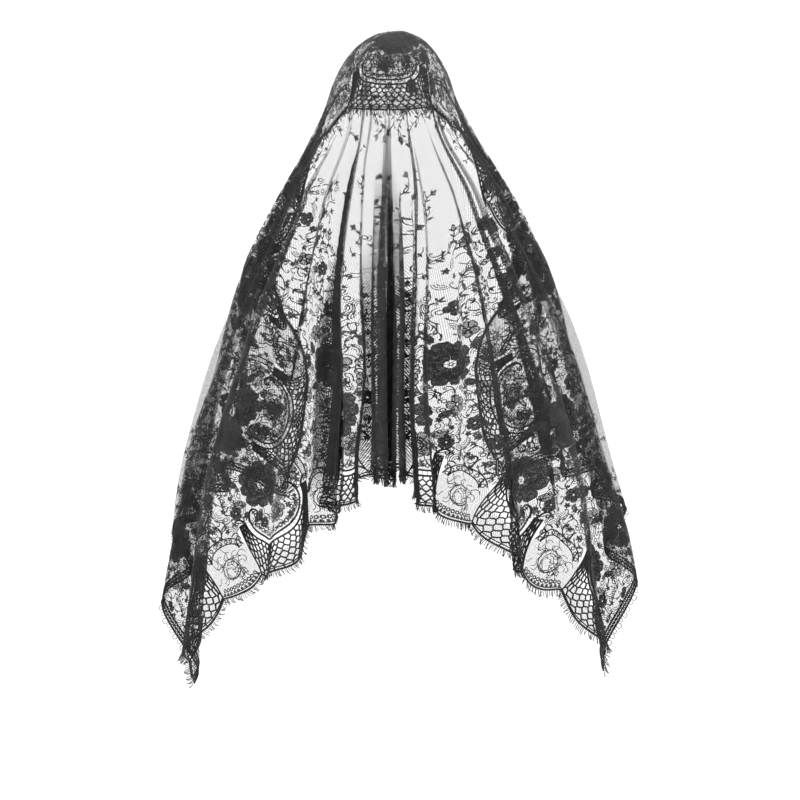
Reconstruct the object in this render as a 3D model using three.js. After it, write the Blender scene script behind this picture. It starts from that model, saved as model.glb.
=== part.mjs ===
// A mantilla veil: one rectangle of black lace, worn over the head and seen as it hangs.
// The wearer faces +Y, +Z is up, and the origin is the crown of the head, under the lace.
// The flat lace is described by two lengths: across, along its scalloped long edges,
// and down, from the crown towards the back hem. Each piece is laid out flat and then hung.

import * as THREE from "three";

// The cut of the lace, in millimetres
const clothWidth = 1500;
const backDrop = 700;
const frontReach = 165;
const wall = 1.4;
const seamGap = 0.6;

// The scalloped borders and the narrow edging of the short ends
const fanSpacing = 214;
const fanShare = 2 / 3;
const borderDepth = 62;
const fanBulge = 22;
const littleBulge = 9;
const edgingWidth = 12;
const netBar = 4.2;
const leastGap = 0.3;

// How far the lace stands out from the wearer's middle
const elbowHalfWidth = 308;
const backDepth = 130;
const frontDepth = 178;
const bodyReach = 1030;
const cornerFullness = 0.35;
const rightLean = 0.045;

// Distances from the crown at which the folds start and are full, and at which the
// contour starts to turn from a head's oval to square shoulders and has done so
const foldsStart = 130;
const foldsFull = 420;
const squareStart = 103;
const squareFull = 412;
// Near the head folds stand out from the contour, and lower down they straddle it
const loosenStart = 155;
const loosenFull = 412;
const looseLift = 0.25;
// How far a fold's sides may turn over, in radians
const deepestSwing = 1.8;

// How finely each piece is meshed
const columnsPerFan = 7;
const endRows = 22;
const borderRows = 2;
const fieldRings = 11;
const ringCrowding = 1.25;
const hangSteps = 56;

// Sections along a hang line from the crown. along is a share of bodyReach,
// halfWidth of elbowHalfWidth, back of backDepth and front of frontDepth.
const sections = [
  { along: 0, halfWidth: 0, back: 0, front: 0 },
  { along: 0.03, halfWidth: 0.097, back: 0.23, front: 0.17 },
  { along: 0.06, halfWidth: 0.178, back: 0.44, front: 0.33 },
  { along: 0.09, halfWidth: 0.236, back: 0.62, front: 0.47 },
  { along: 0.12, halfWidth: 0.276, back: 0.745, front: 0.585 },
  { along: 0.15, halfWidth: 0.303, back: 0.815, front: 0.655 },
  { along: 0.21, halfWidth: 0.368, back: 0.86, front: 0.69 },
  { along: 0.275, halfWidth: 0.459, back: 0.885, front: 0.695 },
  { along: 0.34, halfWidth: 0.556, back: 0.905, front: 0.72 },
  { along: 0.417, halfWidth: 0.665, back: 0.925, front: 0.76 },
  { along: 0.568, halfWidth: 0.823, back: 0.955, front: 0.85 },
  { along: 0.7, halfWidth: 0.935, back: 0.985, front: 0.925 },
  { along: 0.806, halfWidth: 1.005, back: 1, front: 0.965 },
  { along: 0.92, halfWidth: 1.06, back: 0.985, front: 0.99 },
  { along: 1, halfWidth: 1.1, back: 0.94, front: 1 },
];

// Where a line of the lace lies round the body, in degrees from the middle of the back.
// cloth is its direction from the crown on the flat lace, and the other columns are its
// direction in plan at four heights.
const stations = [
  { cloth: 0, crown: 0, brow: 0, neck: 0, hip: 0 },
  { cloth: 17, crown: 17, brow: 14, neck: 15, hip: 10 },
  { cloth: 31, crown: 31, brow: 26, neck: 31, hip: 28 },
  { cloth: 42, crown: 42, brow: 36, neck: 45, hip: 52 },
  { cloth: 48, crown: 48, brow: 41, neck: 52, hip: 65 },
  { cloth: 75, crown: 75, brow: 64, neck: 78, hip: 96 },
  { cloth: 90, crown: 90, brow: 76, neck: 91, hip: 121 },
  { cloth: 105, crown: 105, brow: 88, neck: 103, hip: 151 },
  { cloth: 130, crown: 130, brow: 108, neck: 123, hip: 165 },
  { cloth: 162, crown: 162, brow: 148, neck: 152, hip: 173 },
  { cloth: 180, crown: 180, brow: 180, neck: 180, hip: 180 },
];
const stationHeights = { crown: 0.06, brow: 0.195, neck: 0.31, hip: 0.6 };

// Crests of the folds: cloth is the crest's direction from the crown on the flat lace,
// and take is how much of the slack there it takes up.
const folds = [
  { cloth: -180, take: 0.4 },
  { cloth: -152, take: 0.5 },
  { cloth: -127, take: 0.5 },
  { cloth: -109, take: 0.5 },
  { cloth: -93, take: 0.45 },
  { cloth: -79, take: 0.2 },
  { cloth: -66, take: 0.12 },
  { cloth: -55, take: 0.2 },
  { cloth: -43, take: 0.55 },
  { cloth: -30.5, take: 0.9 },
  { cloth: -18, take: 1.05 },
  { cloth: -4, take: 1.05 },
  { cloth: 6, take: 1 },
  { cloth: 16, take: 0.95 },
  { cloth: 31.5, take: 0.9 },
  { cloth: 43, take: 0.55 },
  { cloth: 55, take: 0.2 },
  { cloth: 68, take: 0.12 },
  { cloth: 81, take: 0.2 },
  { cloth: 94, take: 0.45 },
  { cloth: 109, take: 0.5 },
  { cloth: 128, take: 0.5 },
  { cloth: 153, take: 0.5 },
  { cloth: 180, take: 0.4 },
];

const radians = THREE.MathUtils.degToRad;
const lerp = THREE.MathUtils.lerp;
const smoothstep = THREE.MathUtils.smoothstep;

// A smooth curve through points that never overshoots them (monotone cubic).
function curveThrough(xs, ys) {
  const chords = xs.slice(1).map((x, i) => (ys[i + 1] - ys[i]) / (x - xs[i]));
  const slopes = xs.map((_, i) => {
    const before = chords[Math.max(i - 1, 0)];
    const after = chords[Math.min(i, chords.length - 1)];
    return before * after > 0 ? 2 / (1 / before + 1 / after) : 0;
  });
  return (x) => {
    if (x <= xs[0]) return ys[0];
    if (x >= xs.at(-1)) return ys.at(-1);
    let i = 0;
    while (xs[i + 1] < x) i += 1;
    const step = xs[i + 1] - xs[i];
    const u = (x - xs[i]) / step;
    const v = 1 - u;
    return (
      ys[i] * (1 + 2 * u) * v * v +
      ys[i + 1] * u * u * (3 - 2 * u) +
      step * u * v * (slopes[i] * v - slopes[i + 1] * u)
    );
  };
}

const column = (table, name, scale = 1) => table.map((row) => row[name] * scale);
const alongs = column(sections, "along", bodyReach);
const halfWidthAt = curveThrough(alongs, column(sections, "halfWidth", elbowHalfWidth));
const backAt = curveThrough(alongs, column(sections, "back", backDepth));
const frontAt = curveThrough(alongs, column(sections, "front", frontDepth));

const clothAngles = column(stations, "cloth", radians(1));
const bodyAngleAt = {};
for (const height of Object.keys(stationHeights)) {
  bodyAngleAt[height] = curveThrough(clothAngles, column(stations, height, radians(1)));
}

const foldAngles = column(folds, "cloth", radians(1));
const foldPhase = curveThrough(foldAngles, folds.map((_, i) => 2 * Math.PI * i));
const foldTake = curveThrough(foldAngles, column(folds, "take"));

// The direction in plan of the cloth line at angle, at the distance reach from the crown.
function bodyAngle(reach, angle) {
  const size = Math.abs(angle);
  const heights = Object.entries(stationHeights);
  let turned = bodyAngleAt.crown(size);
  for (let i = 1; i < heights.length; i += 1) {
    const from = heights[i - 1][1] * bodyReach;
    const to = heights[i][1] * bodyReach;
    turned = lerp(turned, bodyAngleAt[heights[i][0]](size), smoothstep(reach, from, to));
  }
  return Math.sign(angle) * turned;
}

// The contour round head, shoulders and arms, without folds.
function contour(reach, angle) {
  const turned = bodyAngle(reach, angle);
  const sine = Math.sin(turned);
  const cosine = Math.cos(turned);
  const depth = lerp(backAt(reach), frontAt(reach), (1 - cosine) / 2);
  const square = cornerFullness * smoothstep(reach, squareStart, squareFull);
  return [
    halfWidthAt(reach) * sine * (1 + rightLean * sine),
    -depth * cosine * (1 + square * sine * sine),
  ];
}

// Bessel functions of whole order, which give the shape of an evenly curving meander.
function bessel(order, x) {
  let term = (x / 2) ** order;
  for (let k = 2; k <= order; k += 1) term /= k;
  let sum = term;
  for (let k = 1; k < 8; k += 1) {
    term *= -((x / 2) ** 2) / (k * (k + order));
    sum += term;
  }
  return sum;
}

// The contour with its folds. Where the contour is shorter than the lace, the lace
// meanders from side to side by just enough to take up the slack: a meander whose
// direction swings as a sine is shorter than its lace by the Bessel function of order 0.
function plan(reach, angle) {
  const nudge = 0.01;
  const [x, y] = contour(reach, angle);
  const [x0, y0] = contour(reach, angle - nudge);
  const [x1, y1] = contour(reach, angle + nudge);
  const length = Math.max(Math.hypot(x1 - x0, y1 - y0), 1e-6);
  const along = [(x1 - x0) / length, (y1 - y0) / length];
  const outward = [along[1], -along[0]];
  const tightness = Math.min(length / (2 * nudge * Math.max(reach, 1)), 1);
  const slack = (1 - tightness) * foldTake(angle) * smoothstep(reach, foldsStart, foldsFull);
  const swing = Math.min(2 * Math.sqrt(slack) * (1 + 0.15 * slack), deepestSwing);
  const phase = foldPhase(angle);
  const perRadian = (foldPhase(angle + nudge) - foldPhase(angle - nudge)) / (2 * nudge);
  const size = reach / Math.max(perRadian, 1);
  const crest = size * 2 * bessel(1, swing);
  const lift = crest * lerp(1, looseLift, smoothstep(reach, loosenStart, loosenFull));
  const across = size * bessel(2, swing) * Math.sin(2 * phase);
  const out = crest * Math.cos(phase) + size * (2 / 3) * bessel(3, swing) * Math.cos(3 * phase);
  return [
    x + along[0] * across + outward[0] * (out + lift),
    y + along[1] * across + outward[1] * (out + lift),
  ];
}

// Hangs a point of the flat lace. The line from the crown keeps its length, so what it
// doesn't use going outwards it drops.
function hang(across, down) {
  const reach = Math.hypot(across, down);
  const angle = Math.atan2(across, down);
  let [x, y] = [0, 0];
  let z = wall / 2;
  const run = reach / hangSteps;
  for (let i = 1; i <= hangSteps; i += 1) {
    const [nextX, nextY] = plan(run * i, angle);
    z -= Math.sqrt(Math.max(run * run - (nextX - x) ** 2 - (nextY - y) ** 2, 0));
    [x, y] = [nextX, nextY];
  }
  return new THREE.Vector3(x, y, z);
}

// The two faces of the wall at a point of the flat lace.
function wallPoints(across, down) {
  const nudge = 2;
  const middle = hang(across, down);
  const sideways = hang(across + nudge, down).sub(hang(across - nudge, down));
  const downwards = hang(across, down + nudge).sub(hang(across, down - nudge));
  const normal = downwards.cross(sideways).normalize().multiplyScalar(wall / 2);
  return [middle.clone().add(normal), middle.clone().sub(normal)];
}

const middleOf = (places) => [0, 1].map((k) => places.reduce((sum, p) => sum + p[k] / 4, 0));

// Builds a hung wall from cells of the flat lace. Each point has a number on the front
// face, and the next number is the same point on the back face.
function wallBuilder() {
  const places = [];
  const points = [];
  const triangles = [];
  const put = (place) => {
    points.push(...wallPoints(...place));
    places[points.length - 2] = place;
    return points.length - 2;
  };
  const patch = (a, b, c) => triangles.push(a, b, c, a + 1, c + 1, b + 1);
  // A cell is split along the diagonal that lies closer to the hung lace.
  const cell = (a, b, c, d) => {
    const middle = hang(...middleOf([a, b, c, d].map((k) => places[k])));
    const off = (p, q) => points[p].clone().add(points[q]).divideScalar(2).distanceTo(middle);
    if (off(b, d) < off(a, c)) {
      patch(a, b, d);
      patch(b, c, d);
    } else {
      patch(a, b, c);
      patch(a, c, d);
    }
  };
  // Rims that face each other across a seam are split alike, from the point that lies
  // further to the left or the front.
  const rim = (a, b) => {
    if (places[a][0] + places[a][1] < places[b][0] + places[b][1]) {
      triangles.push(a, b, b + 1, a, b + 1, a + 1);
    } else {
      triangles.push(b, b + 1, a + 1, b, a + 1, a);
    }
  };
  // A cell cut through, with bars of the coarse net left round the gap.
  const openCell = (corners) => {
    const middle = middleOf(corners.map((k) => places[k]));
    const gap = corners.map((k) => {
      const away = Math.hypot(places[k][0] - middle[0], places[k][1] - middle[1]);
      const kept = Math.max(1 - netBar / away, leastGap);
      return put(places[k].map((value, axis) => lerp(middle[axis], value, kept)));
    });
    corners.forEach((corner, k) => {
      const next = (k + 1) % 4;
      cell(corner, corners[next], gap[next], gap[k]);
      rim(gap[k], gap[next]);
    });
  };
  const finish = () => {
    const geometry = new THREE.BufferGeometry().setFromPoints(points);
    geometry.setIndex(triangles);
    geometry.computeVertexNormals();
    return geometry;
  };
  return { put, patch, cell, rim, openCell, finish };
}

// A strip over a grid of flat points. isOpen says which of its cells are cut through.
function hungStrip(grid, isOpen = () => false) {
  const wallOf = wallBuilder();
  const at = grid.map((row) => row.map(wallOf.put));
  const rows = grid.length - 1;
  const columns = grid[0].length - 1;
  for (let j = 0; j < rows; j += 1) {
    for (let i = 0; i < columns; i += 1) {
      const corners = [at[j][i], at[j + 1][i], at[j + 1][i + 1], at[j][i + 1]];
      if (isOpen(i, j)) wallOf.openCell(corners);
      else wallOf.cell(...corners);
    }
  }
  for (let i = 0; i < columns; i += 1) {
    wallOf.rim(at[0][i], at[0][i + 1]);
    wallOf.rim(at[rows][i + 1], at[rows][i]);
  }
  for (let j = 0; j < rows; j += 1) {
    wallOf.rim(at[j + 1][0], at[j][0]);
    wallOf.rim(at[j][columns], at[j + 1][columns]);
  }
  return wallOf.finish();
}

// The field is meshed in rings round the crown, on rays out to its edge, because its
// folds run along such rays. edge goes round with the wearer's back first.
function hungField(edge) {
  const wallOf = wallBuilder();
  const crown = wallOf.put([0, 0]);
  const rings = [];
  for (let k = 1; k <= fieldRings; k += 1) {
    const share = (k / fieldRings) ** ringCrowding;
    rings.push(edge.map((place) => wallOf.put(place.map((value) => value * share))));
  }
  const outermost = rings.at(-1);
  edge.forEach((_, i) => {
    const next = (i + 1) % edge.length;
    wallOf.patch(crown, rings[0][i], rings[0][next]);
    for (let k = 1; k < fieldRings; k += 1) {
      wallOf.cell(rings[k - 1][i], rings[k][i], rings[k][next], rings[k - 1][next]);
    }
    wallOf.rim(outermost[next], outermost[i]);
  });
  return wallOf.finish();
}

// Columns of the lace: each repeat is a fan with half a little scallop on each side.
const fanRepeats = Math.max(Math.round(clothWidth / fanSpacing), 1);
const repeat = clothWidth / fanRepeats;
const fanWidth = repeat * fanShare;
const columnsPerRepeat = columnsPerFan + 2;
const bodyHalf = clothWidth / 2 - edgingWidth - seamGap / 2;
const columnPlaces = [-bodyHalf];
for (let fan = 0; fan < fanRepeats; fan += 1) {
  const fanMiddle = (fan + 0.5) * repeat - clothWidth / 2;
  for (let i = 0; i <= columnsPerFan; i += 1) {
    columnPlaces.push(fanMiddle + (i / columnsPerFan - 0.5) * fanWidth);
  }
  columnPlaces.push(Math.min(fanMiddle + repeat / 2, bodyHalf));
}

// The field's edge: along the back seam, up the right end, along the front seam, and
// down the left end.
const backSeam = backDrop - borderDepth;
const frontSeam = -(frontReach - borderDepth);
const fieldBack = backSeam - seamGap / 2;
const fieldFront = frontSeam + seamGap / 2;
const endPlaces = [];
for (let j = 1; j < endRows; j += 1) endPlaces.push(lerp(fieldBack, fieldFront, j / endRows));
const fieldEdge = [
  ...columnPlaces.map((across) => [across, fieldBack]),
  ...endPlaces.map((down) => [bodyHalf, down]),
  ...columnPlaces.toReversed().map((across) => [across, fieldFront]),
  ...endPlaces.toReversed().map((down) => [-bodyHalf, down]),
];

// The scalloped line: how far short of the border's full depth the edge stops.
function scallop(across) {
  const place = THREE.MathUtils.euclideanModulo(across + clothWidth / 2, repeat) - repeat / 2;
  const fromFan = Math.abs(place) / (fanWidth / 2);
  if (fromFan <= 1) return fanBulge * fromFan ** 2;
  const fromLittle = (repeat / 2 - Math.abs(place)) / (repeat / 2 - fanWidth / 2);
  return fanBulge - littleBulge * (1 - fromLittle ** 2);
}

// A border hangs from its seam to the scalloped line. side is 1 at the back, -1 in front.
function borderGrid(seam, edge, side) {
  const grid = [];
  for (let j = 0; j <= borderRows; j += 1) {
    grid.push(
      columnPlaces.map((across) => {
        const from = seam + (side * seamGap) / 2;
        const to = edge - side * scallop(across);
        return [across, lerp(from, to, j / borderRows)];
      }),
    );
  }
  return side > 0 ? grid : grid.reverse();
}

// The gaps of a fan: a row against the seam, and a shorter one along its edge.
function isFanGap(column, rowFromSeam) {
  const place = (column % columnsPerRepeat) - 1;
  const spared = 1 + rowFromSeam;
  return place >= spared && place < columnsPerFan - spared;
}

const backGrid = borderGrid(backSeam, backDrop, 1);
const frontGrid = borderGrid(frontSeam, -frontReach, -1);

// The edging follows the ends of the front border, the field and the back border.
function edgingGrid(side) {
  const outer = (side * clothWidth) / 2;
  const inner = side * (bodyHalf + seamGap);
  const ends = side > 0 ? [inner, outer] : [outer, inner];
  const downs = [
    ...frontGrid.slice(0, -1).map((row) => row[0][1]),
    fieldFront,
    ...endPlaces.toReversed(),
    fieldBack,
    ...backGrid.slice(1).map((row) => row[0][1]),
  ];
  return downs.map((down) => ends.map((across) => [across, down]));
}

const blackLace = new THREE.MeshStandardMaterial({ color: 0x1a1a19, roughness: 0.85 });
blackLace.side = THREE.DoubleSide;
const blackCord = new THREE.MeshStandardMaterial({ color: 0x101010, roughness: 0.7 });
blackCord.side = THREE.DoubleSide;

const mantilla = new THREE.Group();

function addPiece(name, geometry, material) {
  const mesh = new THREE.Mesh(geometry, material);
  mesh.name = name;
  mantilla.add(mesh);
}

const isFrontFanGap = (column, row) => isFanGap(column, borderRows - 1 - row);
addPiece("lace_field", hungField(fieldEdge), blackLace);
addPiece("back_border", hungStrip(backGrid, isFanGap), blackCord);
addPiece("front_border", hungStrip(frontGrid, isFrontFanGap), blackCord);
addPiece("left_edging", hungStrip(edgingGrid(-1)), blackCord);
addPiece("right_edging", hungStrip(edgingGrid(1)), blackCord);

export default mantilla;
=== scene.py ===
import math
from functools import partial

import bpy
import numpy as np
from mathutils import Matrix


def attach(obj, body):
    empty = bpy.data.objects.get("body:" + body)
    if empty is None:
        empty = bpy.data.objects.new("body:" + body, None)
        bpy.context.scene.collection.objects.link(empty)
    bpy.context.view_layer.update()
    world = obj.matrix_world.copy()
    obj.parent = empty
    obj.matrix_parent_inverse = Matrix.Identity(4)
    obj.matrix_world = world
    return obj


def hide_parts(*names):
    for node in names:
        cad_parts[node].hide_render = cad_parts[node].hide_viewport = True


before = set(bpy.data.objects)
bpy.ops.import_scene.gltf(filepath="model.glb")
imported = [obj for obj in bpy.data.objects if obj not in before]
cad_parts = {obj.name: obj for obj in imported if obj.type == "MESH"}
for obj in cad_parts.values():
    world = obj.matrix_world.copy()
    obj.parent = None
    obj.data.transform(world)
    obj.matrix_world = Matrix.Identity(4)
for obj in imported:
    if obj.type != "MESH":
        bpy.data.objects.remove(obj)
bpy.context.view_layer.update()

# The net ground. The veil is one rectangle of fine black tulle, scalloped along both long
# edges, laid over the crown and left to fall in folds to the back and both sides.
# Flat places are in millimetres: across the cloth, and down from the crown to the back hem.
CLOTH_WIDTH = 1500.0
BACK_DROP = 700.0
FRONT_REACH = 165.0
FAN_SPACING = CLOTH_WIDTH / 7
FAN_WIDTH = FAN_SPACING * 2 / 3
FAN_BULGE = 22.0
LITTLE_BULGE = 9.0
HALF_WALL = 0.7
HANG_REACH = 1030.0

# along from the crown as a share of HANG_REACH, then half width, back and front depth
HANG_SECTIONS = np.array([
    (0, 0, 0, 0), (0.03, 0.097, 0.23, 0.17), (0.06, 0.178, 0.44, 0.33),
    (0.09, 0.236, 0.62, 0.47), (0.12, 0.276, 0.745, 0.585), (0.15, 0.303, 0.815, 0.655),
    (0.21, 0.368, 0.86, 0.69), (0.275, 0.459, 0.885, 0.695), (0.34, 0.556, 0.905, 0.72),
    (0.417, 0.665, 0.925, 0.76), (0.568, 0.823, 0.955, 0.85), (0.7, 0.935, 0.985, 0.925),
    (0.806, 1.005, 1, 0.965), (0.92, 1.06, 0.985, 0.99), (1, 1.1, 0.94, 1),
]) * (HANG_REACH, 308, 130, 178)
# the cloth's direction from the crown, and where it lies in plan at four heights, in degrees
CLOTH_STATIONS = np.radians([
    (0, 0, 0, 0, 0), (17, 17, 14, 15, 10), (31, 31, 26, 31, 28), (42, 42, 36, 45, 52),
    (48, 48, 41, 52, 65), (75, 75, 64, 78, 96), (90, 90, 76, 91, 121),
    (105, 105, 88, 103, 151), (130, 130, 108, 123, 165), (162, 162, 148, 152, 173),
    (180, 180, 180, 180, 180),
])
STATION_REACHES = np.array((0.06, 0.195, 0.31, 0.6)) * HANG_REACH
# each fold's crest on the cloth in degrees, and how much of the slack it takes up
FOLD_CRESTS = np.array([
    (-180, 0.4), (-152, 0.5), (-127, 0.5), (-109, 0.5), (-93, 0.45), (-79, 0.2),
    (-66, 0.12), (-55, 0.2), (-43, 0.55), (-30.5, 0.9), (-18, 1.05), (-4, 1.05),
    (6, 1), (16, 0.95), (31.5, 0.9), (43, 0.55), (55, 0.2), (68, 0.12), (81, 0.2),
    (94, 0.45), (109, 0.5), (128, 0.5), (153, 0.5), (180, 0.4),
])


def curve_through(xs, ys):
    """A smooth curve through points that never overshoots them."""
    chords = np.diff(ys) / np.diff(xs)
    before, after = np.r_[chords[:1], chords], np.r_[chords, chords[-1:]]
    both = before * after
    slopes = np.where(both > 0, 2 * both / np.where(both > 0, before + after, 1), 0)

    def at(x):
        x = np.clip(x, xs[0], xs[-1])
        i = np.clip(np.searchsorted(xs, x, side="right") - 1, 0, len(xs) - 2)
        step = xs[i + 1] - xs[i]
        u = (x - xs[i]) / step
        v = 1 - u
        ends = ys[i] * (1 + 2 * u) * v * v + ys[i + 1] * u * u * (3 - 2 * u)
        return ends + step * u * v * (slopes[i] * v - slopes[i + 1] * u)

    return at


def ease(x, start, end):
    u = np.clip((x - start) / (end - start), 0, 1)
    return u * u * (3 - 2 * u)


def mixed(a, b, share):
    return a + (b - a) * share


half_width_at, back_depth_at, front_depth_at = (
    curve_through(HANG_SECTIONS[:, 0], HANG_SECTIONS[:, k]) for k in (1, 2, 3)
)
plan_angle_at = [curve_through(CLOTH_STATIONS[:, 0], CLOTH_STATIONS[:, k]) for k in (1, 2, 3, 4)]
fold_angles = np.radians(FOLD_CRESTS[:, 0])
fold_phase = curve_through(fold_angles, 2 * math.pi * np.arange(len(FOLD_CRESTS)))
fold_take = curve_through(fold_angles, FOLD_CRESTS[:, 1])


def hang_contour(reach, angle):
    """The plan that the veil hangs round, where the cloth line at angle passes."""
    size = np.abs(angle)
    turned = plan_angle_at[0](size)
    for k in (1, 2, 3):
        share = ease(reach, STATION_REACHES[k - 1], STATION_REACHES[k])
        turned = mixed(turned, plan_angle_at[k](size), share)
    sine, cosine = np.sin(np.sign(angle) * turned), np.cos(turned)
    depth = mixed(back_depth_at(reach), front_depth_at(reach), (1 - cosine) / 2)
    square = 0.35 * ease(reach, 103, 412)
    x = half_width_at(reach) * sine * (1 + 0.045 * sine)
    return np.stack([x, -depth * cosine * (1 + square * sine * sine)], -1)


def bessel(order, x):
    term = (x / 2) ** order / math.factorial(order)
    total = term.copy()
    for k in range(1, 8):
        term = term * -((x / 2) ** 2) / (k * (k + order))
        total = total + term
    return total


def folded_contour(reach, angle):
    """The contour with its folds: a meander just long enough for the lace to fit in."""
    nudge = 0.01
    edge = hang_contour(reach, angle + nudge) - hang_contour(reach, angle - nudge)
    length = np.maximum(np.linalg.norm(edge, axis=-1), 1e-6)
    along = edge / length[..., None]
    outward = np.stack([along[..., 1], -along[..., 0]], -1)
    tightness = np.minimum(length / (2 * nudge * np.maximum(reach, 1)), 1)
    slack = (1 - tightness) * fold_take(angle) * ease(reach, 130, 420)
    swing = np.minimum(2 * np.sqrt(slack) * (1 + 0.15 * slack), 1.8)
    phase = fold_phase(angle)
    per_radian = (fold_phase(angle + nudge) - fold_phase(angle - nudge)) / (2 * nudge)
    size = reach / np.maximum(per_radian, 1)
    crest = size * 2 * bessel(1, swing)
    lift = crest * mixed(1, 0.25, ease(reach, 155, 412))
    across = size * bessel(2, swing) * np.sin(2 * phase)
    out = crest * np.cos(phase) + size * (2 / 3) * bessel(3, swing) * np.cos(3 * phase) + lift
    return hang_contour(reach, angle) + along * across[..., None] + outward * out[..., None]


# pressed pleats: direction on the cloth and half width in degrees, then where each starts,
# where it is full and where it dies out, and whether it lies in five layers and not in three
PLEATS = (
    (-35.5, 1.5, 150, 250, 480, 1), (-23.6, 2.1, 190, 270, 900, 1), (-15.0, 1.2, 120, 200, 620, 0),
    (-9.4, 1.8, 230, 420, 900, 1), (-3.4, 1.9, 120, 260, 900, 1), (2.8, 1.9, 120, 240, 900, 1),
    (8.9, 1.8, 240, 400, 900, 1), (16.8, 1.5, 140, 240, 900, 0), (21.6, 0.8, 200, 300, 700, 0),
    (33.5, 1.2, 180, 300, 800, 0), (41.0, 1.5, 140, 210, 640, 1), (48.5, 1.1, 140, 230, 560, 1),
    (-43.5, 1.0, 180, 300, 600, 0), (-51.0, 0.9, 160, 250, 520, 0), (57.0, 1.0, 180, 260, 560, 0),
)

# the cloth is hung once, on a fan of lines from the crown
LINE_END, LINE_STEP, LINE_COUNT = 1044.0, 3.0, 2161
PLEAT_LIFT = 2.2
line_reaches = np.arange(0, LINE_END, LINE_STEP)
line_angles = np.linspace(-math.pi, math.pi, LINE_COUNT)
reach_grid, angle_grid = np.meshgrid(line_reaches, line_angles, indexing="ij")
pleated_angles = angle_grid.copy()
pleat_lifts = np.zeros_like(angle_grid)
for direction, half_width, start, full, finish, deep in PLEATS:
    strength = ease(reach_grid, start, full) * (1 - ease(reach_grid, finish, finish + 200))
    from_pleat = (angle_grid - math.radians(direction)) / math.radians(half_width)
    wide = 0.6 * from_pleat * np.exp(-0.5 * (from_pleat / 3) ** 2)
    if deep:
        turned_over = 1.25 * np.sin(2 * from_pleat) * np.exp(-(from_pleat**2) / 4.5)
    else:
        turned_over = 1.75 * from_pleat * np.exp(-0.5 * from_pleat**2)
    pleated_angles -= math.radians(half_width) * strength * (turned_over + wide)
    pleat_lifts -= strength * from_pleat * np.exp(-(from_pleat**2) / (5 if deep else 2)) * PLEAT_LIFT
plan_places = folded_contour(reach_grid, pleated_angles)
run = folded_contour(reach_grid, pleated_angles + 0.004)
run -= folded_contour(reach_grid, pleated_angles - 0.004)
run /= np.maximum(np.linalg.norm(run, axis=-1, keepdims=True), 1e-6)
plan_places += np.stack([run[..., 1], -run[..., 0]], -1) * pleat_lifts[..., None]
plan_places[0] = 0
sideways = (np.diff(plan_places, axis=0) ** 2).sum(-1)
drops = np.sqrt(np.maximum(LINE_STEP**2 - sideways, 0))
heights = HALF_WALL - np.concatenate([np.zeros((1, len(line_angles))), np.cumsum(drops, 0)])
hung = np.concatenate([plan_places, heights[..., None]], -1)


def surface_normals(places):
    down = np.gradient(places, axis=0)
    round_it = np.gradient(places, axis=1)
    round_it[:, 0] = round_it[:, -1] = (places[:, 1] - places[:, -2]) / 2
    normals = np.cross(round_it, down)
    normals[0] = (0, 0, 1)
    normals *= np.where(np.gradient(pleated_angles, axis=1) < 0, -1, 1)[..., None]
    return normals / np.maximum(np.linalg.norm(normals, axis=-1, keepdims=True), 1e-9)


# where the net is drawn together and stands closer: direction and half width in degrees
# at 200 mm from the crown and at 600 mm, then start, full, finish and how much
GATHERS = (
    (-0.5, 6.0, -1.0, 16.5, 230, 400, 710, 1.25), (-22.5, 1.7, -24.9, 4.3, 120, 240, 730, 1.9),
    (16.8, 1.3, 16.8, 1.8, 140, 260, 640, 0.9), (33.5, 1.2, 33.5, 1.5, 180, 300, 700, 1.0),
    (41.0, 1.6, 41.0, 1.4, 130, 210, 620, 1.0), (-35.5, 1.6, -35.5, 1.4, 150, 250, 480, 0.8),
    (48.5, 1.2, 48.5, 1.2, 140, 230, 520, 0.8),
)
gathers = np.zeros_like(angle_grid)
for near_way, near_half, far_way, far_half, start, full, finish, closeness in GATHERS:
    lower = ease(reach_grid, 200, 600)
    from_middle = np.abs(np.degrees(angle_grid) - mixed(near_way, far_way, lower))
    from_middle /= mixed(near_half, far_half, lower)
    strength = closeness * ease(reach_grid, start, full)
    strength *= 1 - ease(reach_grid, finish - 70, finish)
    gathers = np.maximum(gathers, strength * (1 - ease(from_middle, 0.75, 1.15)))
# high on both sides, between these ways off the middle of the back, it stands more open
SIDE_BACK, SIDE_FRONT, SIDE_OPENING = (46, 58), (125, 142), 0.32
off_back = ease(np.abs(angle_grid), *map(math.radians, SIDE_BACK))
off_front = 1 - ease(np.abs(angle_grid), *map(math.radians, SIDE_FRONT))
stretched = SIDE_OPENING * off_back * off_front * ease(reach_grid, 110, 200)
gathers -= stretched * (1 - ease(reach_grid, 390, 500))

# small wrinkles between the folds, finer at the crown and broader towards the hem
crease_dice = np.random.default_rng(11)


def soft_noise(angle, reach, round_count, down_count):
    """Smooth noise that closes round the crown."""
    table = crease_dice.uniform(-1, 1, (down_count + 2, round_count))
    table = np.concatenate([table, table[:, :1]], 1)
    a = (angle + math.pi) / (2 * math.pi) * round_count * 0.999999
    r = np.clip(reach / LINE_END, 0, 0.9999) * down_count
    i, j = r.astype(int), a.astype(int)
    u, v = ease(r - i, 0, 1), ease(a - j, 0, 1)
    top = mixed(table[i, j], table[i, j + 1], v)
    return mixed(top, mixed(table[i + 1, j], table[i + 1, j + 1], v), u)


crown_creases = soft_noise(angle_grid, reach_grid, 84, 5) * 1.5 * ease(reach_grid, 25, 90)
crown_creases *= 1 - ease(reach_grid, 240, 420)
long_creases = soft_noise(angle_grid, reach_grid, 96, 7) * 4.0 * ease(reach_grid, 160, 460)
broad_waves = soft_noise(angle_grid, reach_grid, 40, 6) * 6.0 * ease(reach_grid, 200, 600)
hung += surface_normals(hung) * (crown_creases + long_creases + broad_waves)[..., None]
hung_normals = surface_normals(hung)


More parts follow.
